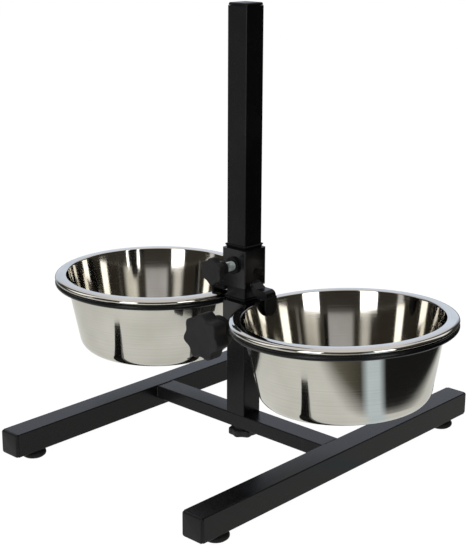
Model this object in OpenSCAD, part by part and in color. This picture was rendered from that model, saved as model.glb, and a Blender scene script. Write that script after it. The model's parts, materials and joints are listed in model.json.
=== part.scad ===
// Dog feeder stand: H base, square post, sliding ring carriage and rim holder, millimetres, +Z up.

/* [Tubes] */
// outside size of the square tube of rails and post
tube = 25.4; // [18:0.1:35]
// wall of every tube
tube_wall = 1.5; // [1:0.1:2.5]
// outside corner radius of the tubes
tube_corner = 1; // [0.8:0.1:3]

/* [Base] */
// length of each rail's tube, without its caps
rail_len = 418; // [300:1:600]
// distance between the rails' centre lines
rail_spacing = 266; // [200:1:400]
// height of the flat cross bar
cross_h = 15; // [12:0.5:17]
// how far the cross bar's top lies below the rails' top
cross_drop = 0.5; // [0.2:0.1:5]
// thickness of an end cap's visible flange
cap_flange = 3; // [2:0.1:6]
// depth of an end cap's plug
cap_plug = 12; // [6:0.5:15]
// bevel of an end cap's outer edge
cap_bevel = 1.2; // [0.4:0.1:2]

/* [Feet] */
// diameter of a glide
foot_d = 26; // [18:0.5:32]
// height of a glide below the rail
foot_h = 9; // [6:0.5:14]
// bevel at a glide's lower edge
foot_bevel = 2; // [0.5:0.1:4]
// diameter of a glide's stem
foot_stem_d = 10; // [6:0.5:12]
// height of a glide's stem inside the rail
foot_stem_h = 8; // [4:0.5:15]
// distance from the rail tube's end to a glide's centre
foot_inset = 28; // [22:0.5:80]

/* [Post] */
// length of the post's tube
post_len = 429; // [350:1:700]
// height of the threaded plug in the post's foot
plug_h = 22; // [15:0.5:40]

/* [Sleeves] */
// height of a sleeve's tube
sleeve_h = 40; // [30:0.5:50]
// outside corner radius of the sleeves
sleeve_corner = 1.6; // [1:0.1:3]
// wall of a bush
bush_wall = 1.7; // [1:0.05:2.5]
// thickness of a bush's flange on top of its sleeve
bush_flange = 4; // [2:0.1:5]
// diameter of the bush's locating button
button_d = 7; // [4:0.5:10]
// height of the button above the middle of the sleeve
button_rise = -4; // [-8:0.5:8]
// height of the carriage sleeve's lower edge above the floor
carriage_z = 120; // [115:1:135]
// gap between the carriage's flange and the holder's sleeve
sleeve_gap = 13; // [12:0.5:20]

/* [Screws] */
// diameter of the three clamp screws
screw_d = 10; // [6:0.5:12]
// diameter of a threaded insert's flange
insert_d = 18; // [15:0.5:20]
// thickness of a threaded insert's flange
insert_flange = 2.5; // [1.5:0.1:4]
// wall of the insert's body around the screw
insert_wall = 1.5; // [1:0.1:2.5]
// how deep a screw sits in its knob
screw_grip = 8; // [5:0.5:12]

/* [Knobs] */
// diameter of the large knob of the carriage
height_knob_d = 50; // [38:1:56]
// depth of the large knob
height_knob_h = 26; // [18:0.5:34]
// free length of screw between the large knob and its insert
height_free = 20; // [8:0.5:28]
// height of the large knob's axis above the middle of its sleeve
height_rise = -7; // [-8:0.5:5]
// diameter of the small knob of the holder
holder_knob_d = 31; // [24:0.5:40]
// depth of the small knob's lobed head
holder_knob_h = 12; // [9:0.5:20]
// free length of screw between the small knob's hub and its insert
holder_free = 11; // [6:0.5:20]
// height of the small knob's axis above the middle of its sleeve
holder_rise = 3; // [-5:0.5:5]
// length of the small knob's hub
hub_h = 9; // [4:0.5:14]
// diameter of the small knob's hub
hub_d = 17; // [14:0.5:22]
// diameter of the knob under the cross bar
base_knob_d = 30; // [24:0.5:40]
// depth of the knob under the cross bar
base_knob_h = 11; // [8.5:0.5:12]
// bevel of the knobs' edges
knob_bevel = 2; // [0.5:0.1:3]
// number of lobes of the large knob
height_lobes = 8; // [5:1:10]
// number of lobes of the small knobs
small_lobes = 7; // [5:1:9]
// radius of the hollows between the large knob's lobes
height_hollow_r = 8; // [4:0.5:12]
// radius of the hollows between the small knobs' lobes
small_hollow_r = 5; // [3:0.5:8]
// depth of the hollows between the large knob's lobes
height_hollow = 3; // [1:0.1:5]
// depth of the hollows between the small knobs' lobes
small_hollow = 1.8; // [0.8:0.1:3]

/* [Rings] */
// diameter of the ring's round bar
ring_bar = 6; // [4:0.5:8]
// depth of the ring bar's middle below the sleeve's upper edge
ring_drop = 4.3; // [4:0.1:8]
// length of the lug between the sleeve and the ring
lug_len = 4; // [3:0.1:12]
// width of the lug
lug_w = 18; // [10:0.5:22]
// height of the lug
lug_h = 4; // [3:0.1:5]
// how far the lug runs into the ring's bar
lug_bite = 2; // [1:0.1:2.5]
// angle by which the right ring stands up
right_tilt = 3.3; // [0:0.1:5]

/* [Bowls] */
// outside radius of the bowl's rim
rim_r = 113; // [90:0.5:125]
// width of the rim
rim_w = 12.5; // [9:0.5:16]
// height of the rim
rim_h = 5.5; // [4:0.1:8]
// thickness of the bowl's sheet
bowl_wall = 0.9; // [0.6:0.05:1.5]
// depth of the bowl below its rim
bowl_depth = 81; // [50:0.5:90]
// how much narrower the wall is at the bottom
bowl_taper = 12; // [5:0.5:20]
// rounding of the bowl's outer bottom edge
bowl_corner = 16; // [8:0.5:25]

/* [Fingers] */
// width of a finger
finger_w = 14; // [8:0.5:20]
// thickness of a finger's arm
finger_t = 5; // [4:0.5:9]
// how far the toe's top lies below the arm's root
finger_drop = 5.5; // [3:0.1:7]
// length over which the arm slopes down to its toe
finger_slope = 8; // [5:0.5:12]
// how far a finger reaches out from its sleeve
finger_reach = 22.5; // [20:0.5:30]
// radius of the finger's rounded back
finger_round = 7; // [3:0.5:10]
// width of the finger's toe
toe_w = 17; // [13:0.5:18]
// thickness of the rubber pad
pad_t = 3.2; // [2:0.1:5]
// gap between a pad and the left rim
pad_gap = 2.3; // [2.2:0.1:4]

/* [Fits] */
// sliding gap between a bush and the post, each side
slide_fit = 0.08; // [0.04:0.01:0.1]
// gap of plugs and bushes in their tubes, each side
plug_fit = 0.05; // [0.02:0.01:0.1]
// radial gap of a screw in its thread
thread_fit = 0.05; // [0.02:0.01:0.1]
// radial gap of a screw in a plain hole
hole_fit = 0.4; // [0.2:0.05:0.8]
// gap between the rim and its ring
seat_gap = 0.3; // [0.2:0.05:0.6]
// gap between a clamp screw's tip and the post
tip_gap = 0.1; // [0.05:0.05:0.5]

/* [Hidden] */
$fn = 96;
eps = 0.01;
rail_x = rail_spacing / 2;
rail_top = foot_h + tube;
tube_in = tube - 2 * tube_wall;
corner_in = max(tube_corner - tube_wall, 0.3);
plug_w = tube_in - 2 * plug_fit;
cross_top = rail_top - cross_drop;
cross_bot = cross_top - cross_h;
cross_len = rail_spacing - tube;
foot_y = rail_len / 2 - foot_inset;
post_top = cross_top + post_len;
bush_in = tube + 2 * slide_fit;
bush_out = bush_in + 2 * bush_wall;
sleeve_in = bush_out + 2 * plug_fit;
sleeve_out = sleeve_in + 2 * tube_wall;
half = sleeve_out / 2;
corner_bush = tube_corner + slide_fit;
corner_sleeve_in = max(sleeve_corner - tube_wall, 0.5);
holder_z = carriage_z + sleeve_h + bush_flange + sleeve_gap;
height_axis_z = carriage_z + sleeve_h / 2 + height_rise;
holder_axis_z = holder_z + sleeve_h / 2 + holder_rise;
insert_body = screw_d + 2 * insert_wall;
screw_seat = half + insert_flange;
height_knob_y = screw_seat + height_free;
holder_knob_y = screw_seat + holder_free;
tip_y = tube / 2 + tip_gap;
ring_z = carriage_z + sleeve_h - ring_drop;
ring_r = rim_r - ring_bar / 2;
ring_x = half + lug_len + rim_r;
rim_z = ring_z + ring_bar / 2 + seat_gap;
wall_top_r = rim_r - rim_w;
wall_bot_r = wall_top_r - bowl_taper;
rim_top = rim_z + rim_h;
pad_z = rim_top + pad_gap;
toe_z = pad_z + pad_t;
toe_min = 3;
finger_top = max(holder_z + finger_t - finger_drop, toe_z + toe_min);
toe_h = finger_top - toe_z;
finger_far = half + finger_reach;
back_r = min(finger_round, toe_h - 0.5);
rim_edge = rim_h / 2 - eps;
corner_x = wall_bot_r - bowl_corner;

// square with round corners, built from plain shapes so its faces stay exact
module soft_square(x, y, r) {
  square([x - 2 * r, y], center = true);
  square([x, y - 2 * r], center = true);
  for (i = [-1, 1], j = [-1, 1])
    translate([i * (x / 2 - r), j * (y / 2 - r)]) circle(r);
}

// tube standing on z = 0
module tube_up(x, y, len, wall, r_out, r_in) {
  linear_extrude(len)
    difference() {
      soft_square(x, y, r_out);
      soft_square(x - 2 * wall, y - 2 * wall, r_in);
    }
}

// the shape's +Z turned to run along -Y
module along_minus_y(y, z) {
  translate([0, -y, z]) rotate([90, 0, 0]) children();
}

module rail(x) {
  color("#1d1e20")
    difference() {
      translate([x, rail_len / 2, foot_h + tube / 2])
        rotate([90, 0, 0]) tube_up(tube, tube, rail_len, tube_wall, tube_corner, corner_in);
      for (s = [-1, 1])
        translate([x, s * foot_y, foot_h - eps])
          cylinder(d = foot_stem_d + 2 * plug_fit, h = tube_wall + 2 * eps);
    }
}

module rail_left() { rail(-rail_x); }

module rail_right() { rail(rail_x); }

module cross_bar() {
  color("#1d1e20")
    difference() {
      translate([-cross_len / 2, 0, cross_bot + cross_h / 2])
        rotate([90, 0, 90]) tube_up(tube, cross_h, cross_len, tube_wall, tube_corner, corner_in);
      translate([0, 0, cross_bot - eps])
        cylinder(d = screw_d + 2 * hole_fit, h = cross_h + 2 * eps);
    }
}

module post() {
  color("#1d1e20")
    translate([0, 0, cross_top]) tube_up(tube, tube, post_len, tube_wall, tube_corner, corner_in);
}

// cap with its flange's face at z = 0 and its plug below
module cap_shape() {
  translate([0, 0, -cap_plug]) linear_extrude(cap_plug) soft_square(plug_w, plug_w, corner_in);
  intersection() {
    linear_extrude(cap_flange) soft_square(tube, tube, tube_corner);
    for_both_sides() bevelled_slab();
  }
}

// the same shape as it is and turned by a quarter, where both overlap
module for_both_sides() {
  intersection() {
    children();
    rotate([0, 0, 90]) children();
  }
}

module bevelled_slab() {
  w = tube / 2;
  rotate([90, 0, 0])
    linear_extrude(tube + 2 * eps, center = true)
      polygon([[-w, 0], [w, 0], [w, cap_flange - cap_bevel], [w - cap_bevel, cap_flange],
        [cap_bevel - w, cap_flange], [-w, cap_flange - cap_bevel]]);
}

module post_cap() {
  color("#232426") translate([0, 0, post_top]) cap_shape();
}

// dir is -1 at the front end and 1 at the back end
module rail_cap(x, dir) {
  color("#232426")
    translate([x, dir * rail_len / 2, foot_h + tube / 2]) rotate([-90 * dir, 0, 0]) cap_shape();
}

module cap_left_front() { rail_cap(-rail_x, -1); }

module cap_left_back() { rail_cap(-rail_x, 1); }

module cap_right_front() { rail_cap(rail_x, -1); }

module cap_right_back() { rail_cap(rail_x, 1); }

module foot(x, y) {
  color("#161718")
    translate([x, y, 0]) {
      cylinder(d1 = foot_d - 2 * foot_bevel, d2 = foot_d, h = foot_bevel);
      translate([0, 0, foot_bevel]) cylinder(d = foot_d, h = foot_h - foot_bevel);
      translate([0, 0, foot_h]) cylinder(d = foot_stem_d, h = foot_stem_h);
    }
}

module foot_left_front() { foot(-rail_x, -foot_y); }

module foot_left_back() { foot(-rail_x, foot_y); }

module foot_right_front() { foot(rail_x, -foot_y); }

module foot_right_back() { foot(rail_x, foot_y); }

module post_plug() {
  color("#8d9193")
    translate([0, 0, cross_top])
      difference() {
        linear_extrude(plug_h) soft_square(plug_w, plug_w, corner_in);
        translate([0, 0, -eps]) cylinder(d = screw_d + 2 * thread_fit, h = plug_h + 2 * eps);
      }
}

// lobed outline of a star knob
module star(d, lobes, hollow_r, hollow) {
  difference() {
    circle(d = d);
    for (i = [0 : lobes - 1])
      rotate(i * 360 / lobes) translate([d / 2 + hollow_r - hollow, 0]) circle(hollow_r);
  }
}

// lobed head from z = 0 to z = h with bevelled ends
module star_head(d, h, lobes, hollow_r, hollow) {
  r = d / 2;
  intersection() {
    linear_extrude(h) star(d, lobes, hollow_r, hollow);
    rotate_extrude()
      polygon([[0, 0], [r - knob_bevel, 0], [r, knob_bevel],
        [r, h - knob_bevel], [r - knob_bevel, h], [0, h]]);
  }
}

// what a screw takes out of its knob, from z = 0 upwards
module screw_hole() {
  translate([0, 0, -eps]) cylinder(d = screw_d + 2 * thread_fit, h = screw_grip + eps);
}

module base_knob() {
  color("#2b2a2b")
    translate([0, 0, cross_bot]) rotate([180, 0, 0])
      difference() {
        star_head(base_knob_d, base_knob_h, small_lobes, small_hollow_r, small_hollow);
        screw_hole();
      }
}

module base_stud() {
  color("#8d9193")
    translate([0, 0, cross_bot - screw_grip]) cylinder(d = screw_d, h = screw_grip + cross_h + plug_h);
}

// sleeve tube on z with a hole for the insert at height axis
module sleeve(z, axis) {
  color("#1d1e20")
    difference() {
      translate([0, 0, z])
        tube_up(sleeve_out, sleeve_out, sleeve_h, tube_wall, sleeve_corner, corner_sleeve_in);
      along_minus_y(half - tube_wall - eps, axis)
        cylinder(d = insert_body + 2 * plug_fit, h = tube_wall + 2 * eps);
      for (s = [-1, 1])
        translate([s * half, 0, z + sleeve_h / 2 + button_rise]) rotate([0, 90, 0])
          cylinder(d = button_d + 2 * plug_fit, h = 3 * tube_wall, center = true);
    }
}

// plastic bush in a sleeve, with a flange on the sleeve's upper edge and a button in each side hole
module bush(z, axis) {
  color("#2a2b2d")
    difference() {
      union() {
        translate([0, 0, z]) linear_extrude(sleeve_h) soft_square(bush_out, bush_out, corner_sleeve_in);
        translate([0, 0, z + sleeve_h])
          linear_extrude(bush_flange) soft_square(sleeve_out, sleeve_out, sleeve_corner);
        translate([0, 0, z + sleeve_h / 2 + button_rise]) rotate([0, 90, 0])
          cylinder(d = button_d, h = sleeve_out, center = true);
      }
      translate([0, 0, z - eps])
        linear_extrude(sleeve_h + bush_flange + 2 * eps) soft_square(bush_in, bush_in, corner_bush);
      along_minus_y(0, axis) cylinder(d = insert_body + 2 * plug_fit, h = half);
    }
}

// threaded insert: flange on the sleeve's face, body in its wall
module insert(axis) {
  color("#1d1e20")
    along_minus_y(half - tube_wall, axis)
      difference() {
        union() {
          cylinder(d = insert_body, h = tube_wall);
          translate([0, 0, tube_wall]) cylinder(d = insert_d, h = insert_flange);
        }
        translate([0, 0, -eps])
          cylinder(d = screw_d + 2 * thread_fit, h = tube_wall + insert_flange + 2 * eps);
      }
}

// clamp screw from the post's face to its knob
module clamp_screw(axis, knob_y) {
  color("#a9adab") along_minus_y(tip_y, axis) cylinder(d = screw_d, h = knob_y + screw_grip - tip_y);
}

module carriage_sleeve() { sleeve(carriage_z, height_axis_z); }

module carriage_bush() { bush(carriage_z, height_axis_z); }

module carriage_insert() { insert(height_axis_z); }

// dir is -1 for the left ring and 1 for the right one, tilt lifts the ring's far side
module ring(dir, tilt) {
  color("#1d1e20") {
    translate([dir * (half + (lug_len + lug_bite) / 2), 0, ring_z])
      cube([lug_len + lug_bite, lug_w, lug_h], center = true);
    at_ring(dir, tilt)
      rotate_extrude() translate([ring_r, 0]) circle(d = ring_bar);
  }
}

// frame of a ring: origin at the ring's centre, turned about the lug's root
module at_ring(dir, tilt) {
  translate([dir * half, 0, ring_z])
    rotate([0, -dir * tilt, 0]) translate([dir * (ring_x - half), 0, 0]) children();
}

module left_ring() { ring(-1, 0); }

module right_ring() { ring(1, right_tilt); }

module height_knob() {
  color("#2b2a2b")
    along_minus_y(height_knob_y, height_axis_z)
      difference() {
        star_head(height_knob_d, height_knob_h, height_lobes, height_hollow_r, height_hollow);
        screw_hole();
      }
}

module height_bolt() { clamp_screw(height_axis_z, height_knob_y); }

module holder_sleeve() { sleeve(holder_z, holder_axis_z); }

module holder_bush() { bush(holder_z, holder_axis_z); }

module holder_insert() { insert(holder_axis_z); }

// cranked finger: an arm sloping down from the sleeve to a toe with a round back
module finger(dir) {
  color("#1d1e20")
    mirror([dir < 0 ? 1 : 0, 0, 0])
      translate([0, finger_w / 2, 0]) rotate([90, 0, 0])
        linear_extrude(finger_w)
          difference() {
            polygon([[half, holder_z], [half, holder_z + finger_t], [half + finger_slope, finger_top],
              [finger_far, finger_top], [finger_far, toe_z], [finger_far - toe_w, toe_z]]);
            translate([finger_far - back_r, finger_top - back_r])
              difference() {
                square(back_r + eps);
                circle(back_r);
              }
          }
}

module left_finger() { finger(-1); }

module right_finger() { finger(1); }

module pad(dir) {
  color("#141414")
    translate([dir * (finger_far - toe_w / 2), 0, pad_z + pad_t / 2])
      cube([toe_w, finger_w, pad_t], center = true);
}

module left_pad() { pad(-1); }

module right_pad() { pad(1); }

module holder_knob() {
  color("#2b2a2b")
    along_minus_y(holder_knob_y, holder_axis_z)
      difference() {
        union() {
          cylinder(d = hub_d, h = hub_h + eps);
          translate([0, 0, hub_h])
            star_head(holder_knob_d, holder_knob_h, small_lobes, small_hollow_r, small_hollow);
        }
        screw_hole();
      }
}

module holder_bolt() { clamp_screw(holder_axis_z, holder_knob_y); }

// the bowl below its rim as a solid section, drawn t inside its outer skin
module body_section(t) {
  top = t > 0 ? eps : 0;
  r = bowl_corner - t;
  edge = [wall_top_r - t, 0];
  mid = [corner_x, bowl_corner - bowl_depth];
  lean = atan2(edge[1] - mid[1], edge[0] - mid[0]) - acos(r / norm(edge - mid));
  polygon([[0, t - bowl_depth], [mid[0], t - bowl_depth], mid + r * [cos(lean), sin(lean)],
    edge, edge + [0, top], [0, top]]);
  translate(mid) circle(r);
}

module bowl() {
  color("#c9c8c2")
    rotate_extrude() {
      difference() {
        body_section(0);
        body_section(bowl_wall);
      }
      difference() {
        rim_section(0);
        rim_section(bowl_wall);
      }
    }
}

// section of the rolled rim, which is open below, drawn t inside its outer skin
module rim_section(t) {
  low = t > 0 ? -eps : 0;
  r = rim_edge - t;
  x0 = wall_top_r - bowl_wall + t;
  x1 = rim_r - t;
  translate([x0, low]) square([x1 - x0, rim_h - rim_edge - low]);
  translate([x0 + r, low]) square([x1 - x0 - 2 * r, rim_h - t - low]);
  for (x = [x0 + r, x1 - r])
    translate([x, rim_h - rim_edge]) circle(r);
}

module left_bowl() {
  at_ring(-1, 0) translate([0, 0, rim_z - ring_z]) bowl();
}

module right_bowl() {
  at_ring(1, right_tilt) translate([0, 0, rim_z - ring_z]) bowl();
}

rail_left();
rail_right();
cross_bar();
post();
post_cap();
cap_left_front();
cap_left_back();
cap_right_front();
cap_right_back();
foot_left_front();
foot_left_back();
foot_right_front();
foot_right_back();
post_plug();
base_knob();
base_stud();
carriage_sleeve();
carriage_bush();
carriage_insert();
left_ring();
right_ring();
height_knob();
height_bolt();
holder_sleeve();
holder_bush();
holder_insert();
left_finger();
right_finger();
left_pad();
right_pad();
holder_knob();
holder_bolt();
left_bowl();
right_bowl();
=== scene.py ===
import bpy
import json
import math
from mathutils import Matrix, Vector


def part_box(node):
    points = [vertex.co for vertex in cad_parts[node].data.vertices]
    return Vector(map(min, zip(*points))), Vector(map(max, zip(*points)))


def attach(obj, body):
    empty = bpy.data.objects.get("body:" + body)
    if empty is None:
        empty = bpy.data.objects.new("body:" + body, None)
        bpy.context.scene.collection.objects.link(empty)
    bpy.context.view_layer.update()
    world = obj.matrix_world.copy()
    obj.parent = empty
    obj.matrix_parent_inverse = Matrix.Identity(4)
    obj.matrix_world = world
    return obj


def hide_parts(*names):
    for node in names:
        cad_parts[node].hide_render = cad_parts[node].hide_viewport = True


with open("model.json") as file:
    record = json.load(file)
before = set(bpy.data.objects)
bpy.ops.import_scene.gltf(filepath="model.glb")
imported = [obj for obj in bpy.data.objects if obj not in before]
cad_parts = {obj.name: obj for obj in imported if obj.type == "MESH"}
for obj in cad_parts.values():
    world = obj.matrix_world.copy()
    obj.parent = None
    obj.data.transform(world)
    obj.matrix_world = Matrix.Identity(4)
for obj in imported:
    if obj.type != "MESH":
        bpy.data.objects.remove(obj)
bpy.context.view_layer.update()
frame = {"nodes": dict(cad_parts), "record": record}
nodes = frame["nodes"]
print("frame loaded,", len(nodes), "nodes")


# Selecting and naming

def millimetres(*values):
    return tuple(v / 1000 for v in values)


def pieceName(node, ending):  # cap_left_front and Moulding give capLeftFrontMoulding
    first, *others = node.split("_")
    return first + "".join(word.capitalize() for word in others) + ending


def clearSelection():
    if bpy.context.mode != "OBJECT":
        bpy.ops.object.mode_set(mode="OBJECT")
    bpy.ops.object.select_all(action="DESELECT")


def pick(*pieces):  # the last one is active
    clearSelection()
    for piece in pieces:
        piece.select_set(True)
    bpy.context.view_layer.objects.active = pieces[-1]


def applyPlace(*pieces):  # place, turn and size go into the mesh
    pick(*pieces)
    bpy.ops.object.transform_apply(location=True, rotation=True, scale=True)


def applyModifiers(piece):
    pick(piece)
    for modifier in list(piece.modifiers):
        bpy.ops.object.modifier_apply(modifier=modifier.name)


def joinUp(*pieces):  # into the last one
    applyPlace(*pieces)
    bpy.ops.object.join()
    return pieces[-1]


def copyOf(piece):  # with a mesh of its own
    pick(piece)
    bpy.ops.object.duplicate()
    return bpy.context.object


def settle(piece, name, material, body, slot, *stoodFor):  # place into the mesh, then onto its body
    applyPlace(piece)
    piece.name = name
    piece.data.name = name
    piece.data.materials.clear()
    piece.data.materials.append(material)
    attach(piece, body)
    if stoodFor:
        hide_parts(*stoodFor)


# Shaping in edit mode
mergeWithin = 1e-6  # metres


def selectAll():
    bpy.ops.mesh.select_all(action="SELECT")


def editAll(kind):  # edit mode with all of the active piece selected
    bpy.ops.object.mode_set(mode="EDIT")
    bpy.ops.mesh.select_mode(type=kind)
    selectAll()


def extrude(step):
    bpy.ops.mesh.extrude_region_move(TRANSFORM_OT_translate={"value": step})


def mergeAll():
    selectAll()
    bpy.ops.mesh.remove_doubles(threshold=mergeWithin)


def faceOutwards():  # and out of edit mode
    selectAll()
    bpy.ops.mesh.normals_make_consistent(inside=False)
    bpy.ops.object.mode_set(mode="OBJECT")


def chooseTop(piece, height):  # selects the level faces above a height, in edit mode
    bpy.ops.object.mode_set(mode="OBJECT")
    for part in (piece.data.vertices, piece.data.edges):
        for item in part:
            item.select = False
    for face in piece.data.polygons:
        face.select = abs(face.normal.z) > 0.9 and face.center.z > height
    bpy.ops.object.mode_set(mode="EDIT")
    bpy.ops.mesh.select_mode(type="FACE")


def arcPoints(x, z, a, b, start, end, count):  # points of an ellipse's arc in the XZ plane, angles in degrees
    angles = [math.radians(start + (end - start) * i / count) for i in range(count + 1)]
    return [(x + a * math.cos(t), 0, z + b * math.sin(t)) for t in angles]


def drawLine(points):  # a plane merged to one vertex, then extruded from point to point
    clearSelection()
    bpy.ops.mesh.primitive_plane_add(size=0.01)
    piece = bpy.context.object
    editAll("VERT")
    bpy.ops.mesh.merge(type="CENTER")
    bpy.ops.transform.translate(value=points[0])
    for before, after in zip(points, points[1:]):
        extrude(Vector(after) - Vector(before))
    return piece


def pulledOutline(points, step):  # an outline filled and pulled out, still in edit mode
    piece = drawLine(points)
    selectAll()
    bpy.ops.mesh.edge_face_add()
    extrude(step)
    return piece


def turnedProfile(profile, steps):  # a profile in millimetres, spun round the upright axis
    piece = drawLine([millimetres(*point) for point in profile])
    selectAll()
    bpy.ops.mesh.spin(steps=steps, angle=2 * math.pi, center=(0, 0, 0), axis=(0, 0, 1))
    mergeAll()
    faceOutwards()
    return piece


def solidWall(piece, thickness, side):
    wall = piece.modifiers.new("wall", "SOLIDIFY")
    wall.thickness, wall.offset, wall.use_even_offset = thickness, side, True


def roundEdges(piece, width, segments, angle=30):
    soft = piece.modifiers.new("edges", "BEVEL")
    soft.width, soft.segments, soft.limit_method, soft.angle_limit = width, segments, "ANGLE", math.radians(angle)


def finishShading(piece, angle=35):
    pick(piece)
    bpy.ops.object.shade_smooth_by_angle(angle=math.radians(angle))


# Material nodes

def linear(hexCode):  # sRGB hex to a linear colour
    parts = [int(hexCode[i:i + 2], 16) / 255 for i in (1, 3, 5)]
    return tuple(c / 12.92 if c <= 0.04045 else ((c + 0.055) / 1.055) ** 2.4 for c in parts) + (1.0,)


def addNode(tree, kind, sockets=None, links=None, **settings):
    node = tree.nodes.new(kind)
    for name, value in settings.items():
        setattr(node, name, value)
    for key, value in (sockets or {}).items():
        node.inputs[key].default_value = value
    for key, source in (links or {}).items():
        tree.links.new(source, node.inputs[key])
    return node


def setStops(ramp, *stops):  # each stop is a place and a colour
    elements = ramp.color_ramp.elements
    while len(elements) < len(stops):
        elements.new(0.5)
    for element, (position, colour) in zip(elements, stops):
        element.position, element.color = position, colour


def newMaterial(name):
    material = bpy.data.materials.new(name)
    material.use_nodes = True
    material.node_tree.nodes.clear()
    return material, material.node_tree


def noiseToRange(tree, noise, ends):  # noise lies mostly between 0.3 and 0.7
    spread = addNode(tree, "ShaderNodeMapRange",
                     {"From Min": 0.3, "From Max": 0.7, "To Min": ends[0], "To Max": ends[1]}, {"Value": noise})
    return spread.outputs["Result"]


def patchyFinish(name, look):  # patches vary the colour and the gloss, and a finer grain stands up as bump
    material, tree = newMaterial(name)
    place = addNode(tree, "ShaderNodeTexCoord").outputs["Object"]
    patch = addNode(tree, "ShaderNodeTexNoise", {"Scale": 1000 / look["patchMm"], "Detail": look["patchDetail"]},
                    {"Vector": place}).outputs["Fac"]
    colour = addNode(tree, "ShaderNodeValToRGB", None, {"Fac": patch})
    setStops(colour, *[(position, linear(hexCode)) for position, hexCode in look["colours"]])
    links = {"Base Color": colour.outputs["Color"]}
    if "roughness" in look:
        links["Roughness"] = noiseToRange(tree, patch, look["roughness"])
    if "grainMm" in look:
        kind, height = look.get("grain", ("ShaderNodeTexNoise", "Fac"))
        grain = addNode(tree, kind, {"Scale": 1000 / look["grainMm"], "Detail": look["grainDetail"]}, {"Vector": place})
        strength, depth = look["bump"]
        bump = addNode(tree, "ShaderNodeBump", {"Strength": strength, "Distance": depth},
                       {"Height": grain.outputs[height]})
        links["Normal"] = bump.outputs["Normal"]
    shader = addNode(tree, "ShaderNodeBsdfPrincipled", look["shader"], links)
    addNode(tree, "ShaderNodeOutputMaterial", None, {"Surface": shader.outputs["BSDF"]})
    return material


# Materials

# black polyester powder coat, sprayed on steel and baked: satin, orange peel about 1.6 mm across, faintly cloudy
coatLook = {"colours": ((0.35, "#111112"), (0.70, "#171719")), "patchMm": 40, "patchDetail": 3.0,
            "roughness": (0.22, 0.29), "grainMm": 1.6, "grainDetail": 1.0, "bump": (0.07, 0.0002),
            "shader": {"Specular IOR Level": 0.18}}
powderCoat = patchyFinish("blackPowderCoat", coatLook)

# the same coat on the two sleeves, smoother and with more shine
sleeveCoatLook = dict(coatLook, roughness=(0.17, 0.23), shader={"Specular IOR Level": 0.55})
sleeveCoat = patchyFinish("blackPowderCoatSmooth", sleeveCoatLook)

# moulded black polyethylene of the caps and bushes: waxy, a little uneven in gloss
waxLook = {"colours": ((0.35, "#060708"), (0.75, "#0c0d0e")), "patchMm": 14, "patchDetail": 2.0,
           "roughness": (0.34, 0.48), "grainMm": 0.9, "grainDetail": 2.0, "bump": (0.15, 0.0001),
           "shader": {"IOR": 1.51, "Specular IOR Level": 0.2}}
polyethylene = patchyFinish("blackPolyethylene", waxLook)

# glass-filled nylon of the star knobs: dry, dark grey, spark-eroded grain drawn at 0.8 mm so that it shows
nylonLook = {"colours": ((0.35, "#1b1a1b"), (0.72, "#252324")), "patchMm": 11, "patchDetail": 3.0,
             "roughness": (0.52, 0.66), "grain": ("ShaderNodeTexVoronoi", "Distance"), "grainMm": 0.8,
             "grainDetail": 0.0, "bump": (0.35, 0.00012), "shader": {"IOR": 1.53, "Specular IOR Level": 0.25}}
filledNylon = patchyFinish("glassFilledNylon", nylonLook)

# black rubber of the glides and pads: matt, dusty in patches
rubberLook = {"colours": ((0.40, "#070707"), (0.80, "#111110")), "patchMm": 7, "patchDetail": 4.0,
              "grainMm": 0.7, "grainDetail": 2.0, "bump": (0.3, 0.0001),
              "shader": {"IOR": 1.52, "Roughness": 0.68, "Specular IOR Level": 0.25}}
blackRubber = patchyFinish("blackRubber", rubberLook)

# zinc plated steel of the screws: dull silver with a cool cast and small patches
zincLook = {"colours": ((0.35, "#a3acaa"), (0.65, "#c9d1d0")), "patchMm": 3, "patchDetail": 3.0,
            "roughness": (0.44, 0.30), "shader": {"Metallic": 1.0}}
zincPlate = patchyFinish("zincPlatedSteel", zincLook)

# stainless sheet, spun and polished on a lathe: mirror bright, with hair-fine rings that pull every reflection into
# upright streaks; the rings are drawn at 1.1 mm so that they show
steelLook = {"colours": ((0.5, "#c2bfb7"), (0.9, "#d5d2cb")), "ringMm": 1.1, "cloudMm": 60, "ringShare": 0.4,
             "roughness": (0.06, 0.10), "bump": (0.025, 0.00005),
             "shader": {"Metallic": 1.0, "Anisotropic": 0.75, "Anisotropic Rotation": 0.25}}


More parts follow.
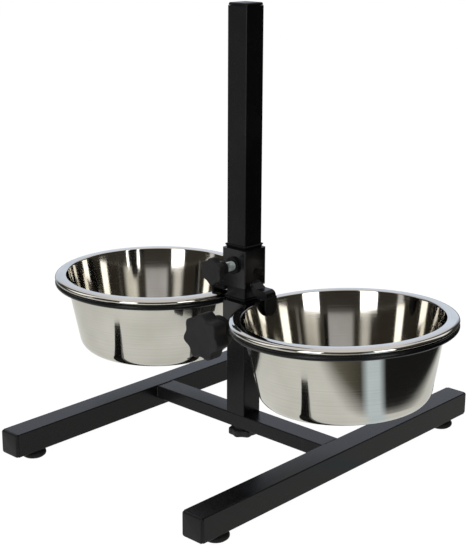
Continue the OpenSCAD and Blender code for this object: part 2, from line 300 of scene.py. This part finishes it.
def polishedSteel(name, centre, tilt):  # the rings centre on the bowl's own axis
    material, tree = newMaterial(name)
    place = addNode(tree, "ShaderNodeTexCoord").outputs["Object"]
    seat = addNode(tree, "ShaderNodeMapping", {"Location": centre, "Rotation": (0, tilt, 0)}, {"Vector": place},
                   vector_type="TEXTURE")
    parts = addNode(tree, "ShaderNodeSeparateXYZ", None, {"Vector": seat.outputs["Vector"]})
    flat = addNode(tree, "ShaderNodeCombineXYZ", None, {"X": parts.outputs["X"], "Y": parts.outputs["Y"]})
    radius = addNode(tree, "ShaderNodeVectorMath", None, {0: flat.outputs["Vector"]}, operation="LENGTH")
    track = addNode(tree, "ShaderNodeMath", None, {0: radius.outputs["Value"], 1: parts.outputs["Z"]},
                    operation="SUBTRACT")
    rings = addNode(tree, "ShaderNodeTexNoise", {"Scale": 1000 / steelLook["ringMm"], "Detail": 2.0},
                    {"W": track.outputs["Value"]}, noise_dimensions="1D").outputs["Fac"]
    cloud = addNode(tree, "ShaderNodeTexNoise", {"Scale": 1000 / steelLook["cloudMm"], "Detail": 2.0},
                    {"Vector": place}).outputs["Fac"]
    mottle = addNode(tree, "ShaderNodeMath", {1: steelLook["ringShare"]}, {0: rings, 2: cloud},
                     operation="MULTIPLY_ADD")
    colour = addNode(tree, "ShaderNodeValToRGB", None, {"Fac": mottle.outputs["Value"]})
    setStops(colour, *[(position, linear(hexCode)) for position, hexCode in steelLook["colours"]])
    strength, depth = steelLook["bump"]
    bump = addNode(tree, "ShaderNodeBump", {"Strength": strength, "Distance": depth}, {"Height": rings})
    around = addNode(tree, "ShaderNodeTangent", direction_type="RADIAL", axis="Z")
    shader = addNode(tree, "ShaderNodeBsdfPrincipled", steelLook["shader"],
                     {"Base Color": colour.outputs["Color"],
                      "Roughness": noiseToRange(tree, rings, steelLook["roughness"]),
                      "Normal": bump.outputs["Normal"], "Tangent": around.outputs["Tangent"]})
    addNode(tree, "ShaderNodeOutputMaterial", None, {"Surface": shader.outputs["BSDF"]})
    return material


print("materials made")

finishOf = {"black_coat": powderCoat, "black_plastic": polyethylene, "knob_plastic": filledNylon,
            "rubber": blackRubber, "zinc_steel": zincPlate}
for subpart in frame["record"]["subparts"]:  # the bowls' own nodes take zinc here, and are hidden below
    node = nodes[subpart["node"]]
    node.data.materials.clear()
    node.data.materials.append(finishOf.get(subpart["material_slot"], zincPlate))
for name in ("carriage_sleeve", "holder_sleeve"):
    nodes[name].data.materials[0] = sleeveCoat

# Bowls: one turned sheet each, flat floor, leaning wall, crowned rim rolled over and curled under
bowlLook = {"rimRadius": 113, "wallRadius": 99.6, "wallTop": 4.2, "floor": -80.1, "floorRings": (0, 8, 24, 44, 60),
            "corner": (71.2, -65), "cornerRadius": 15.1, "mouthEdge": 1.4, "sheet": 0.9, "shoulder": (104, 5.44),
            "crown": 106.5, "rimTop": 5.5, "rollHeight": 1.7, "curl": (2.2, 1.9), "steps": 192, "rightLift": 3.3}


def turnedBowl():
    (cornerX, cornerZ), cornerRadius = bowlLook["corner"], bowlLook["cornerRadius"]
    across = bowlLook["wallRadius"] - cornerX
    lean = math.degrees(math.atan2(-cornerZ, across) - math.acos(cornerRadius / math.hypot(cornerZ, across)))
    tilt = math.radians(-lean)
    profile = [(r, 0, bowlLook["floor"]) for r in bowlLook["floorRings"]]
    profile += arcPoints(cornerX, cornerZ, cornerRadius, cornerRadius, -90, lean, 14)
    foot = profile[-1]
    brim = (bowlLook["wallRadius"] + bowlLook["wallTop"] * math.tan(tilt), 0, bowlLook["wallTop"])
    shares = [i / 9 for i in range(1, 9)] + [0.985, 1]  # the ring close below the edge keeps the wall straight
    profile += [tuple(low + (high - low) * share for low, high in zip(foot, brim)) for share in shares]
    edge = bowlLook["mouthEdge"]
    edgeX, edgeZ = brim[0] + edge * math.cos(tilt), brim[2] - edge * math.sin(tilt)
    profile += arcPoints(edgeX, edgeZ, edge, edge, 180 + lean, 92, 7)[1:]
    (shoulderX, shoulderZ), crown, rimTop = bowlLook["shoulder"], bowlLook["crown"], bowlLook["rimTop"]
    profile += [(shoulderX, 0, shoulderZ), (crown, 0, rimTop)]
    roll, (curlX, curlZ) = bowlLook["rollHeight"], bowlLook["curl"]
    profile += arcPoints(crown, roll, bowlLook["rimRadius"] - crown, rimTop - roll, 82, 0, 12)
    profile += arcPoints(bowlLook["rimRadius"] - curlX, roll, curlX, curlZ, -12, -80, 6)
    piece = turnedProfile(profile, bowlLook["steps"])
    middle = min(piece.data.polygons, key=lambda face: face.center.length_squared - face.center.z ** 2)
    if middle.normal.z < 0:  # the floor's middle has to face up
        bpy.ops.object.mode_set(mode="EDIT")
        bpy.ops.mesh.flip_normals()
        bpy.ops.object.mode_set(mode="OBJECT")
    solidWall(piece, bowlLook["sheet"] / 1000, -1)
    applyModifiers(piece)
    finishShading(piece)
    return piece


leftLow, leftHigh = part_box("left_bowl")
ringLow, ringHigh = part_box("left_ring")
lugRoot = Vector((-ringHigh[0], 0, (ringLow[2] + ringHigh[2]) / 2))  # where the right lug meets its sleeve
leftSeat = Vector(((leftLow[0] + leftHigh[0]) / 2, 0, leftHigh[2] - bowlLook["rimTop"] / 1000))
lift = math.radians(-bowlLook["rightLift"])
reach = Vector((-leftSeat.x - lugRoot.x, 0, leftSeat.z - lugRoot.z))
rightPlace = Matrix.Translation(lugRoot) @ Matrix.Rotation(lift, 4, "Y") @ Matrix.Translation(reach)
leftBowl = turnedBowl()
rightBowl = copyOf(leftBowl)
leftBowl.location = leftSeat
rightBowl.matrix_world = rightPlace
leftSteel = polishedSteel("polishedStainlessLeft", leftSeat, 0)
rightSteel = polishedSteel("polishedStainlessRight", rightPlace.translation, lift)
settle(leftBowl, "bowlLeft", leftSteel, "left_bowl", "stainless", "left_bowl")
settle(rightBowl, "bowlRight", rightSteel, "right_bowl", "stainless", "right_bowl")
print("bowls turned")

# Rubber pads: a slab under each finger's toe, with a tongue that hangs inside the bowl's mouth
padLook = {"tongue": 17, "drop": 16.8, "thickness": 2.6, "edge": 0.7, "past": 0.4}
for side, outward in (("left", -1), ("right", 1)):
    low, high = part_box(side + "_pad")
    clearSelection()
    bpy.ops.mesh.primitive_cube_add(size=1, location=[(a + b) / 2 for a, b in zip(low, high)])
    slab = bpy.context.object
    slab.scale = [b - a for a, b in zip(low, high)]
    applyPlace(slab)
    half, thickness, past, edge = millimetres(padLook["tongue"] / 2, padLook["thickness"], padLook["past"],
                                              padLook["edge"])
    tongueEnd = arcPoints(0, low[2] - padLook["drop"] / 1000 + half, half, half, 180, 360, 24)
    outline = [(0, -half, high[2])] + [(0, x, z) for x, _, z in tongueEnd] + [(0, half, high[2])]
    pad = pulledOutline(outline, (thickness, 0, 0))
    faceOutwards()
    pad.location.x = high[0] + past - thickness if outward > 0 else low[0] - past
    applyPlace(pad)
    joined = pad.modifiers.new("joined", "BOOLEAN")
    joined.operation, joined.object = "UNION", slab
    roundEdges(pad, edge, 3)
    applyModifiers(pad)
    bpy.data.objects.remove(slab)
    finishShading(pad)
    settle(pad, side + "RimPad", blackRubber, "holder", "rubber", side + "_pad")
print("pads moulded")

# Star knobs: a lobed outline drawn point by point, pulled up, its face crowned and its edges rounded
knobLook = {"lobePoints": 28, "lobeShape": 0.9, "faceInset": 0.07, "faceRise": 0.4, "hubOverlap": 0.4, "hubEdge": 0.7}
heightKnobLook = {"diameter": 50, "depth": 19, "lobes": 7, "hollow": 4.0, "turned": 14.3, "hub": (34, 13),
                  "edge": 2.2, "standOff": -4}
holderKnobLook = {"diameter": 28.6, "depth": 8, "lobes": 6, "hollow": 2.2, "turned": 0, "hub": (16, 11),
                  "edge": 1.2, "standOff": 2}
baseKnobLook = {"diameter": 31, "depth": 7.4, "lobes": 7, "hollow": 2.0, "turned": 0, "hub": (20, 3.6), "edge": 1.5}


def starKnob(look):  # stands on z = 0 with its face upwards
    count = look["lobes"] * knobLook["lobePoints"]
    outline = []
    for i in range(count):
        turn = 2 * math.pi * i / count
        wave = math.cos(look["lobes"] * (turn - math.radians(look["turned"])))
        radius = look["diameter"] / 2 - look["hollow"] * (0.5 + 0.5 * wave) ** knobLook["lobeShape"]
        outline.append(millimetres(radius * math.cos(turn), radius * math.sin(turn), 0))
    piece = pulledOutline(outline, (0, 0, look["depth"] / 1000))
    chooseTop(piece, look["depth"] / 2000)
    bpy.ops.mesh.inset(thickness=look["diameter"] * knobLook["faceInset"] / 1000, depth=knobLook["faceRise"] / 1000)
    faceOutwards()
    roundEdges(piece, look["edge"] / 1000, 4, 40)
    applyModifiers(piece)
    wide, tall = look["hub"]
    piece.location.z = tall / 1000
    deep = tall + knobLook["hubOverlap"]
    clearSelection()
    bpy.ops.mesh.primitive_cylinder_add(radius=wide / 2000, depth=deep / 1000, vertices=64,
                                        location=millimetres(0, 0, deep / 2))
    hub = bpy.context.object
    roundEdges(hub, knobLook["hubEdge"] / 1000, 3)
    applyModifiers(hub)
    joinUp(hub, piece)
    finishShading(piece, 32)
    return piece


for node, look in (("height_knob", heightKnobLook), ("holder_knob", holderKnobLook)):
    low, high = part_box(node)
    knob = starKnob(look)
    knob.rotation_euler = (math.pi / 2, 0, 0)
    knob.location = (0, high[1] - look["standOff"] / 1000, (low[2] + high[2]) / 2)
    settle(knob, node.split("_")[0] + "StarKnob", filledNylon, node, "knob_plastic", node)
_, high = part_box("base_knob")
knob = starKnob(baseKnobLook)
knob.rotation_euler = (math.pi, 0, 0)
knob.location = (0, 0, high[2])
settle(knob, "baseStarKnob", filledNylon, "base_knob", "knob_plastic", "base_knob")
print("knobs shaped")

# Clamp screws: M10 threads, one tooth swept up the shank and cut square at both ends
screwLook = {"pitch": 1.5, "outside": 5.0, "root": 4.15, "crest": (0.44, 0.56), "runIn": 2.3, "spareTurns": 4,
             "steps": 28}


def threadedScrew(length):  # stands on z = 0, length in metres
    pitch, outside, root = screwLook["pitch"], screwLook["outside"], screwLook["root"]
    crestLow, crestHigh = screwLook["crest"]
    tooth = [(root, 0, 0), (outside, 0, pitch * crestLow), (outside, 0, pitch * crestHigh), (root, 0, pitch)]
    piece = drawLine([millimetres(*point) for point in tooth])
    bpy.ops.object.mode_set(mode="OBJECT")
    piece.location.z = -screwLook["runIn"] * pitch / 1000
    sweep = piece.modifiers.new("sweep", "SCREW")
    sweep.screw_offset, sweep.iterations = pitch / 1000, int(length * 1000 / pitch) + screwLook["spareTurns"]
    sweep.steps, sweep.render_steps = screwLook["steps"], screwLook["steps"]
    sweep.use_merge_vertices, sweep.merge_threshold = True, mergeWithin
    applyModifiers(piece)
    applyPlace(piece)
    editAll("VERT")
    for height, facing in ((0, -1), (length, 1)):
        mergeAll()
        selectAll()
        bpy.ops.mesh.bisect(plane_co=(0, 0, height), plane_no=(0, 0, facing), clear_outer=True)
    mergeAll()
    selectAll()
    bpy.ops.mesh.fill_holes(sides=0)
    faceOutwards()
    finishShading(piece, 30)
    return piece


for node, body in (("height_bolt", "height_knob"), ("holder_bolt", "holder_knob")):
    low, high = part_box(node)
    screw = threadedScrew(high[1] - low[1])
    screw.rotation_euler = (math.pi / 2, 0, 0)
    screw.location = (0, high[1], (low[2] + high[2]) / 2)
    settle(screw, node.split("_")[0] + "Screw", zincPlate, body, "zinc_steel", node)
low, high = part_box("base_stud")
screw = threadedScrew(high[2] - low[2])
screw.location = (0, 0, low[2])
settle(screw, "baseScrew", zincPlate, "base_knob", "zinc_steel", "base_stud")
print("screws cut")

# Sleeve bushes: a plain liner, a thin lip flared out over the sleeve's edge, and a domed button each side
bushLook = {"liner": 1.6, "inside": 12.8, "corner": 1.1, "edge": 0.2, "lip": 0.9, "lipRoot": 13.0, "lipWide": 15.4,
            "lipStart": 1.0, "lipTurn": 0.3, "lipKnee": (0.45, 0.25), "lipEnd": 0.4, "button": 3.5, "buttonSink": 0.5,
            "buttonGap": 0.2, "buttonDrop": 4, "buttonDome": 0.9}


def squareShell(inside, stations, wall):  # a square loop pulled up through (height, half width) stations
    clearSelection()
    bpy.ops.mesh.primitive_plane_add(size=2 * inside, location=(0, 0, stations[0][0]))
    piece = bpy.context.object
    applyPlace(piece)
    editAll("VERT")
    bpy.ops.mesh.bevel(offset=bushLook["corner"] / 1000, segments=4, affect="VERTICES")
    selectAll()
    bpy.ops.mesh.delete(type="ONLY_FACE")
    selectAll()
    wide = inside
    for (below, _), (height, half) in zip(stations, stations[1:]):
        extrude((0, 0, height - below))
        bpy.ops.transform.resize(value=(half / wide, half / wide, 1), center_override=(0, 0, height))
        wide = half
    faceOutwards()
    solidWall(piece, wall / 1000, 1)
    applyModifiers(piece)
    return piece


for body in ("carriage", "holder"):
    sleeveLow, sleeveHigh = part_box(body + "_sleeve")
    _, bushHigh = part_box(body + "_bush")
    half, base, brim, top = sleeveHigh[0], sleeveLow[2], sleeveHigh[2], bushHigh[2]
    inside, root, wide, lip = millimetres(bushLook["inside"], bushLook["lipRoot"], bushLook["lipWide"], bushLook["lip"])
    start, turn, end = millimetres(bushLook["lipStart"], bushLook["lipTurn"], bushLook["lipEnd"])
    kneeUp, kneeOut = bushLook["lipKnee"]  # shares of the lip's height and spread
    flare = [(brim - start, inside), (brim + turn, root),
             (brim + kneeUp * (top - brim), root + kneeOut * (wide - root)), (top - end, wide - lip)]
    parts = [squareShell(inside, [(base, inside), (brim, inside)], bushLook["liner"]),
             squareShell(inside, flare, bushLook["lip"])]
    sink, gap, drop = millimetres(bushLook["buttonSink"], bushLook["buttonGap"], bushLook["buttonDrop"])
    outer = half - sink
    for side in (-1, 1):
        clearSelection()
        bpy.ops.mesh.primitive_cylinder_add(radius=bushLook["button"] / 1000, depth=outer - inside - gap, vertices=48,
                                            location=(side * (outer + inside + gap) / 2, 0, (base + brim) / 2 - drop),
                                            rotation=(0, math.pi / 2, 0))
        button = bpy.context.object
        roundEdges(button, bushLook["buttonDome"] / 1000, 4)
        applyModifiers(button)
        parts.append(button)
    bush = joinUp(*parts)
    roundEdges(bush, bushLook["edge"] / 1000, 2, 50)
    applyModifiers(bush)
    finishShading(bush, 40)
    settle(bush, body + "Liner", polyethylene, body, "black_plastic", body + "_bush")
print("bushes moulded")

# Tube caps: a pillow-edged flange just clear of the tube's end, with a plug behind it
capLook = {"flange": 3, "seam": 0.35, "corner": 2.6, "pillow": 1.7, "plug": 21.2, "plugOverlap": 1}


def tubeCap(wide, tall):  # its flange faces upwards from z = 0
    seam, flangeTop, plugWide, overlap = millimetres(capLook["seam"], capLook["flange"], capLook["plug"],
                                                     capLook["plugOverlap"])
    clearSelection()
    bpy.ops.mesh.primitive_plane_add(size=wide, location=(0, 0, seam))
    flange = bpy.context.object
    applyPlace(flange)
    editAll("VERT")
    bpy.ops.mesh.bevel(offset=capLook["corner"] / 1000, segments=6, affect="VERTICES")
    selectAll()
    extrude((0, 0, flangeTop - seam))
    chooseTop(flange, flangeTop / 2)
    bpy.ops.mesh.bevel(offset=capLook["pillow"] / 1000, segments=5, affect="EDGES")
    faceOutwards()
    deep = tall - flangeTop
    clearSelection()
    bpy.ops.mesh.primitive_cube_add(size=1, location=(0, 0, (overlap - deep) / 2))
    plug = bpy.context.object
    plug.scale = (plugWide, plugWide, deep + overlap)
    joinUp(plug, flange)
    finishShading(flange, 40)
    return flange


low, high = (Vector(corner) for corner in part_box("post_cap"))
patternCap = tubeCap(high.x - low.x, high.z - low.z)
for node in ("cap_left_front", "cap_left_back", "cap_right_front", "cap_right_back", "post_cap"):
    low, high = (Vector(corner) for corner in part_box(node))
    cap = copyOf(patternCap)
    cap.location = (low + high) / 2
    if node == "post_cap":
        cap.location.z = high.z - capLook["flange"] / 1000
    elif node.endswith("front"):
        cap.rotation_euler = (math.pi / 2, 0, 0)
        cap.location.y = low.y + capLook["flange"] / 1000
    else:
        cap.rotation_euler = (-math.pi / 2, 0, 0)
        cap.location.y = high.y - capLook["flange"] / 1000
    settle(cap, pieceName(node, "Moulding"), polyethylene, "stand", "black_plastic", node)
bpy.data.objects.remove(patternCap)
print("caps fitted")

# Glides: a turned rubber button, waisted under the tube and round at its rim, with a flat sole and a stem in the tube
glideLook = {"waist": 9.6, "rim": 13.2, "rimHeight": 3.6, "rimRound": (2.4, 2.88), "sole": 10.6, "stem": 4.9,
             "tubeGap": 0.2, "steps": 64}
railLow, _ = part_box("rail_left")
_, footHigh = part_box("foot_left_front")
shelf, stemTop = railLow[2] * 1000 - glideLook["tubeGap"], footHigh[2] * 1000
roundX, roundZ = glideLook["rimRound"]
profile = [(0, 0, 0), (glideLook["sole"], 0, 0)]
profile += arcPoints(glideLook["rim"] - roundX, glideLook["rimHeight"], roundX, roundZ, -60, 70, 9)
profile += [(glideLook["waist"], 0, shelf), (glideLook["stem"], 0, shelf), (glideLook["stem"], 0, stemTop),
            (0, 0, stemTop)]
patternGlide = turnedProfile(profile, glideLook["steps"])
finishShading(patternGlide, 40)
for node in ("foot_left_front", "foot_left_back", "foot_right_front", "foot_right_back"):
    low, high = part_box(node)
    glide = copyOf(patternGlide)
    glide.location = ((low[0] + high[0]) / 2, (low[1] + high[1]) / 2, low[2])
    settle(glide, pieceName(node, "Glide"), blackRubber, "stand", "rubber", node)
bpy.data.objects.remove(patternGlide)
print("glides turned")

# Weld beads: rippled runs along each joint, coated with the rest
weldLook = {"radius": 1.3, "sides": 10, "step": 1.1, "ripple": 0.22, "waver": 0.1, "waverTurn": 1.9, "ends": 0.6,
            "sink": 0.4, "barEnds": (2, 1), "lugHalf": 8.5, "lugRise": 2, "fingerEnds": (1, 0.5)}


def weldRun(start, end):  # a small disc pulled along the joint, wider and narrower from ripple to ripple
    start, end = Vector(start), Vector(end)
    count = max(4, int((end - start).length * 1000 / weldLook["step"]))
    step = (end - start) / count
    widths = [1 - weldLook["ripple"] * (i % 2) + weldLook["waver"] * math.sin(i * weldLook["waverTurn"])
              for i in range(count + 1)]
    widths[0], widths[-1] = weldLook["ends"], weldLook["ends"]
    clearSelection()
    bpy.ops.mesh.primitive_circle_add(vertices=weldLook["sides"], radius=widths[0] * weldLook["radius"] / 1000,
                                      fill_type="NGON", location=start,
                                      rotation=step.to_track_quat("Z", "Y").to_euler())
    bead = bpy.context.object
    applyPlace(bead)
    editAll("FACE")
    for i in range(count):
        extrude(step)
        bpy.ops.transform.resize(value=(widths[i + 1] / widths[i],) * 3, center_override=start + step * (i + 1))
    faceOutwards()
    return bead


def weldSeam(name, body, runs):
    seam = joinUp(*[weldRun(start, end) for start, end in runs])
    finishShading(seam, 50)
    settle(seam, name, powderCoat, body, "black_coat")


barLow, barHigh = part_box("cross_bar")
sink, (barEnd, barShort) = weldLook["sink"] / 1000, millimetres(*weldLook["barEnds"])
runs = []
for side in (barLow[0], barHigh[0]):
    runs.append(((side, barLow[1] + barEnd, barHigh[2] - sink), (side, barHigh[1] - barEnd, barHigh[2] - sink)))
    for edge in (barLow[1], barHigh[1]):
        runs.append(((side, edge, barLow[2] + barEnd), (side, edge, barHigh[2] - barShort)))
weldSeam("weldsBase", "stand", runs)

_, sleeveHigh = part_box("carriage_sleeve")
lugHalf, lugRise = millimetres(weldLook["lugHalf"], weldLook["lugRise"])
runs = []
for side in (-sleeveHigh[0], sleeveHigh[0]):
    for height in (lugRoot.z - lugRise, lugRoot.z + lugRise):
        runs.append(((side, -lugHalf, height), (side, lugHalf, height)))
weldSeam("weldsCarriage", "carriage", runs)

fingerLow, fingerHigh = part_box("right_finger")
sleeveLow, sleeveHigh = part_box("holder_sleeve")
fingerEnd, fingerShort = millimetres(*weldLook["fingerEnds"])
runs = []
for side in (-sleeveHigh[0], sleeveHigh[0]):
    runs.append(((side, fingerLow[1] + fingerEnd, fingerHigh[2]), (side, fingerHigh[1] - fingerEnd, fingerHigh[2])))
    for edge in (fingerLow[1], fingerHigh[1]):
        runs.append(((side, edge, sleeveLow[2] + fingerEnd), (side, edge, fingerHigh[2] - fingerShort)))
weldSeam("weldsHolder", "holder", runs)
print("welds run")

# Camera at the photograph's angle
cameraFit = {"place": (0.84757, -0.92468, 0.54752), "azimuth": 43.01, "elevation": 15.96, "roll": 0.27,
             "focalPixels": 1247.57, "longSide": 545, "sensor": 36}
azimuth, elevation, roll = (math.radians(cameraFit[key]) for key in ("azimuth", "elevation", "roll"))
back = Vector((math.sin(azimuth) * math.cos(elevation), -math.cos(azimuth) * math.cos(elevation), math.sin(elevation)))
level = Vector((math.cos(azimuth), math.sin(azimuth), 0))
upright = back.cross(level)
right = level * math.cos(roll) + upright * math.sin(roll)
up = upright * math.cos(roll) - level * math.sin(roll)
cameraData = bpy.data.cameras.new("camera")
camera = bpy.data.objects.new("camera", cameraData)
bpy.context.scene.collection.objects.link(camera)
cameraData.sensor_width = cameraFit["sensor"]
cameraData.lens = cameraFit["focalPixels"] * cameraFit["sensor"] / cameraFit["longSide"]
camera.matrix_world = Matrix.Translation(cameraFit["place"]) @ Matrix((right, up, back)).transposed().to_4x4()
bpy.context.scene.camera = camera
print("camera set")


def roundAbout(tree, vector, stops):  # colours by the degrees round the upright axis, 0 towards the camera
    facing = addNode(tree, "ShaderNodeMapping", {"Rotation": (0, 0, math.radians(90 - cameraFit["azimuth"]))},
                     {"Vector": vector})
    parts = addNode(tree, "ShaderNodeSeparateXYZ", None, {"Vector": facing.outputs["Vector"]})
    turn = addNode(tree, "ShaderNodeMath", None, {0: parts.outputs["Y"], 1: parts.outputs["X"]}, operation="ARCTAN2")
    share = addNode(tree, "ShaderNodeMapRange", {"From Min": -math.pi, "From Max": math.pi},
                    {"Value": turn.outputs["Value"]})
    ramp = addNode(tree, "ShaderNodeValToRGB", None, {"Fac": share.outputs["Result"]})
    setStops(ramp, *[((degrees + 180) / 360, light + (1,)) for degrees, light in stops])
    return ramp.outputs["Color"]


def between(tree, value, ends):  # 0 to 1 as the value goes from one end to the other
    share = addNode(tree, "ShaderNodeMapRange", {"From Min": ends[0], "From Max": ends[1]}, {"Value": value})
    return share.outputs["Result"]


def mixColours(tree, share, first, second):  # each colour is a fixed one or comes from a node
    sockets, links = {}, {0: share}
    for key, colour in ((6, first), (7, second)):
        if isinstance(colour, tuple):
            sockets[key] = colour + (1,)
        else:
            links[key] = colour
    return addNode(tree, "ShaderNodeMix", sockets, links, data_type="RGBA").outputs[2]


# Studio: a round white table in a dim room, a white sheet behind and two tall soft boxes in front. Dull surfaces get
# a plain light; the room painted here is what gloss and steel show
wallDark, wallDim, wallLit = (0.045, 0.041, 0.034), (0.060, 0.054, 0.044), (0.085, 0.078, 0.065)
sheetLow, sheetHigh = (0.81, 0.90, 1.06), (0.87, 0.87, 0.95)
slit, leftStrip, rightStrip = (0.7, 0.7, 0.7), (1.5, 1.5, 1.45), (1.3, 1.3, 1.3)
roomLook = {"fill": 0.12, "ceiling": (0.88, 0.86, 0.86), "upperFrom": (0.35, 0.40), "ceilingFrom": (0.74, 0.84),
            # degrees round the room, 0 towards the camera and 90 on its right, with the light there
            "low": ((-180, sheetLow), (-150, sheetLow), (-138, wallDark), (-79, wallDark), (-77, slit), (-72, slit),
                    (-70, wallDark), (146, wallDark), (158, sheetLow), (180, sheetLow)),
            "upper": ((-180, sheetHigh), (-150, sheetHigh), (-143, wallLit), (-128, wallLit), (-117, leftStrip),
                      (-96, leftStrip), (-84, wallDim), (107, wallDim), (119, rightStrip), (129, rightStrip),
                      (141, wallLit), (149, wallLit), (158, sheetHigh), (180, sheetHigh))}
world = bpy.data.worlds.new("studio")
bpy.context.scene.world = world
world.use_nodes = True
tree = world.node_tree
tree.nodes.clear()
path = addNode(tree, "ShaderNodeLightPath")
place = addNode(tree, "ShaderNodeTexCoord").outputs["Generated"]
height = addNode(tree, "ShaderNodeSeparateXYZ", None, {"Vector": place}).outputs["Z"]
lowWalls = roundAbout(tree, place, roomLook["low"])
upperWalls = roundAbout(tree, place, roomLook["upper"])
walls = mixColours(tree, between(tree, height, roomLook["upperFrom"]), lowWalls, upperWalls)
room = mixColours(tree, between(tree, height, roomLook["ceilingFrom"]), walls, roomLook["ceiling"])
mirrored = addNode(tree, "ShaderNodeBackground", None, {"Color": room})
plain = addNode(tree, "ShaderNodeBackground", {"Color": (1, 1, 1, 1), "Strength": roomLook["fill"]})
white = addNode(tree, "ShaderNodeBackground", {"Color": (1, 1, 1, 1), "Strength": 1.0})
lit = addNode(tree, "ShaderNodeMixShader", None, {"Fac": path.outputs["Is Glossy Ray"], 1: plain.outputs["Background"],
                                                  2: mirrored.outputs["Background"]})
seen = addNode(tree, "ShaderNodeMixShader", None, {"Fac": path.outputs["Is Camera Ray"], 1: lit.outputs["Shader"],
                                                   2: white.outputs["Background"]})
addNode(tree, "ShaderNodeOutputWorld", None, {"Surface": seen.outputs["Shader"]})

# floor: matt white paper for light and shadow; gloss sees the white table, the dimmer floor past its edge and
# a painted reflection of the right soft box, a cool wedge painted into the floor's colour across both
floorPale, floorGrey, floorDark = (0.6, 0.6, 0.6), (0.3, 0.3, 0.3), (0.018, 0.018, 0.018)
floorLook = {"size": 50, "paper": "#f4f4f2", "glow": 0.9, "glowLight": 1.10, "shadowInGloss": 0.35,
             "table": (-0.139, 0.025), "tableEdge": (0.454, 0.504), "white": (1.00, 1.01, 0.97),
             "beyond": ((-180, floorGrey), (-120, floorPale), (-35, floorPale), (-18, (0.35, 0.35, 0.33)),
                        (0, (0.25, 0.24, 0.20)), (20, (0.14, 0.13, 0.10)), (36, floorDark), (100, floorDark),
                        (180, floorGrey)),
             "paintedReflectionFrom": (0.089, 0.070), "paintedReflectionTurn": -28, "paintedReflectionEdge": (10.95, 4.55), "streak": (0.86, 0.99, 1.07)}
clearSelection()
bpy.ops.mesh.primitive_plane_add(size=floorLook["size"])
floor = bpy.context.object
floor.name = "floor"
whitePaper, tree = newMaterial("whitePaper")
path = addNode(tree, "ShaderNodeLightPath")
place = addNode(tree, "ShaderNodeTexCoord").outputs["Object"]
centred = addNode(tree, "ShaderNodeMapping", {"Location": floorLook["table"] + (0,)}, {"Vector": place},
                  vector_type="TEXTURE").outputs["Vector"]
distance = addNode(tree, "ShaderNodeVectorMath", None, {0: centred}, operation="LENGTH").outputs["Value"]
beyond = roundAbout(tree, centred, floorLook["beyond"])
spread = mixColours(tree, between(tree, distance, floorLook["tableEdge"]), floorLook["white"], beyond)
# painted reflection of the right soft box: within a wedge from this point the floor's gloss colour is painted cool
along = addNode(tree, "ShaderNodeMapping", {"Location": floorLook["paintedReflectionFrom"] + (0,),
                                            "Rotation": (0, 0, math.radians(floorLook["paintedReflectionTurn"]))},
                {"Vector": place}, vector_type="TEXTURE")
parts = addNode(tree, "ShaderNodeSeparateXYZ", None, {"Vector": along.outputs["Vector"]})
turn = addNode(tree, "ShaderNodeMath", None, {0: parts.outputs["Y"], 1: parts.outputs["X"]}, operation="ARCTAN2")
aside = addNode(tree, "ShaderNodeMath", None, {0: turn.outputs["Value"]}, operation="ABSOLUTE").outputs["Value"]
streak = between(tree, aside, [math.radians(angle) for angle in floorLook["paintedReflectionEdge"]])
pattern = mixColours(tree, streak, spread, floorLook["streak"])
bright = addNode(tree, "ShaderNodeEmission", None, {"Color": pattern})
shaded = addNode(tree, "ShaderNodeBsdfDiffuse", None, {"Color": pattern})
mirrored = addNode(tree, "ShaderNodeMixShader", {"Fac": floorLook["shadowInGloss"]},
                   {1: bright.outputs["Emission"], 2: shaded.outputs["BSDF"]})
paper = addNode(tree, "ShaderNodeBsdfDiffuse", {"Color": linear(floorLook["paper"])})
glow = addNode(tree, "ShaderNodeEmission", {"Color": (1, 1, 1, 1), "Strength": floorLook["glowLight"]})
shown = addNode(tree, "ShaderNodeMath", {1: floorLook["glow"]}, {0: path.outputs["Is Camera Ray"]},
                operation="MULTIPLY")
ground = addNode(tree, "ShaderNodeMixShader", None, {"Fac": shown.outputs["Value"], 1: paper.outputs["BSDF"],
                                                     2: glow.outputs["Emission"]})
whole = addNode(tree, "ShaderNodeMixShader", None, {"Fac": path.outputs["Is Glossy Ray"], 1: ground.outputs["Shader"],
                                                    2: mirrored.outputs["Shader"]})
addNode(tree, "ShaderNodeOutputMaterial", None, {"Surface": whole.outputs["Shader"]})
floor.data.materials.append(whitePaper)

# lamps: the two boxes stand where their reflections in the bowls put them, and the right one shows in gloss alone; the
# key and the overhead lamp light dull surfaces alone
lampLook = {"leftBox": {"spot": (0.325, -1.433, 0.60), "towards": (0.377, 0.927, 0), "size": (0.62, 1.2),
                        "light": 2.6, "inGloss": True, "onDull": True},
            "rightBox": {"spot": (2.052, -0.443, 0.80), "towards": (-0.975, 0.224, 0), "size": (0.70, 1.6),
                         "light": 2.6, "inGloss": True, "onDull": False},
            "leftKey": {"spot": (0.05, -1.45, 0.60), "towards": (-0.02, 1, -0.25), "size": (0.62, 1.2),
                        "light": 4.4, "inGloss": False, "onDull": True},
            "overhead": {"spot": (-0.2, 0.5, 1.7), "towards": (0.12, -0.3, -0.95), "size": (1.4, 1.4),
                         "light": 0.4, "inGloss": False, "onDull": True}}
wattsPerArea = 4  # for a square metre at light 1
for name, look in lampLook.items():
    lampData = bpy.data.lights.new(name, "AREA")
    lampData.shape = "RECTANGLE"
    width, tall = look["size"]
    lampData.size, lampData.size_y = width, tall
    lampData.energy = wattsPerArea * width * tall * look["light"]
    lamp = bpy.data.objects.new(name, lampData)
    bpy.context.scene.collection.objects.link(lamp)
    lamp.location = look["spot"]
    lamp.rotation_euler = Vector(look["towards"]).to_track_quat("-Z", "Y").to_euler()
    lamp.visible_camera = False
    lamp.visible_glossy, lamp.visible_diffuse = look["inGloss"], look["onDull"]
bpy.context.scene.view_settings.view_transform = "Standard"
print("studio lit")
